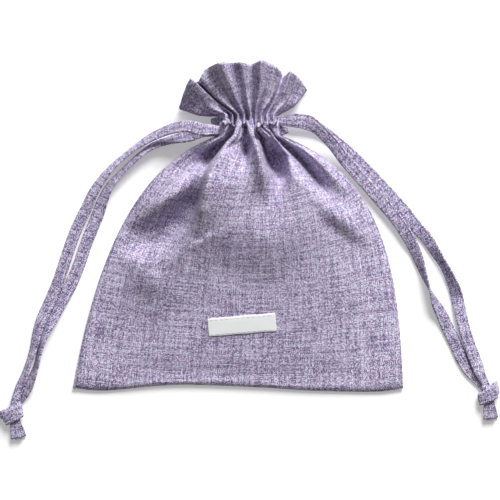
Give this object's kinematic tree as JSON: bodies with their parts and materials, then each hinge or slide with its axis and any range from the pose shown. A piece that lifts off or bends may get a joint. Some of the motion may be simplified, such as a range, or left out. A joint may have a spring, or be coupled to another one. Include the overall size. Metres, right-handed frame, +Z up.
{
  "type": "drawstring gift pouch",
  "caption": "Soft linen-look drawstring gift pouch with a gathered neck, an open frilled mouth, flat self-fabric drawstrings knotted at their ends and a small sewn label.",
  "frame": {"origin": "on the table under the middle of the pouch's box, without the free cord ends", "axes": "+X across the pouch, +Y from the bottom edge to the mouth, +Z up out of the front as the pouch lies on its back"},
  "size_m": [0.3005, 0.2286, 0.03],
  "materials": {
    "cloth": "matte linen-look weave",
    "drawstring": "matte linen-look weave",
    "label": "matte woven tape",
    "thread": "matte"
  },
  "bodies": {
    "pouch": {"back_panel": "cloth", "front_panel": "cloth", "left_side_seam": "cloth", "right_side_seam": "cloth", "bottom_seam": "cloth", "front_casing": "cloth", "back_casing": "cloth", "back_frill": "cloth", "label": "label", "label_stitching": "thread"},
    "front_frill": {"front_frill": "cloth"},
    "left_drawstring": {"left_drawstring_run": "drawstring"},
    "left_cord_ends": {"left_front_cord": "drawstring", "left_back_cord": "drawstring", "left_knot": "drawstring", "left_cord_tails": "drawstring"},
    "right_drawstring": {"right_drawstring_run": "drawstring"},
    "right_cord_ends": {"right_front_cord": "drawstring", "right_back_cord": "drawstring", "right_knot": "drawstring", "right_cord_tails": "drawstring"}
  },
  "joints": [
    {"name": "frill_fold", "type": "hinge", "parent": "pouch", "child": "front_frill", "pos_m": [0.007, 0.06715, 0.0219], "axis": [1, 0, 0], "range_deg": [0, 75]},
    {"name": "left_pull", "type": "slide", "parent": "pouch", "child": "left_drawstring", "axis": [-1, 0, 0], "range_m": [0, 0.004]},
    {"name": "left_swing", "type": "hinge", "parent": "left_drawstring", "child": "left_cord_ends", "pos_m": [-0.0225, 0.0576, 0.005], "axis": [0, 0, 1], "range_deg": [-30, 3]},
    {"name": "right_pull", "type": "slide", "parent": "pouch", "child": "right_drawstring", "axis": [1, 0, 0], "range_m": [0, 0.004]},
    {"name": "right_swing", "type": "hinge", "parent": "right_drawstring", "child": "right_cord_ends", "pos_m": [0.0365, 0.0634, 0.005], "axis": [0, 0, 1], "range_deg": [-2, 30]}
  ]
}
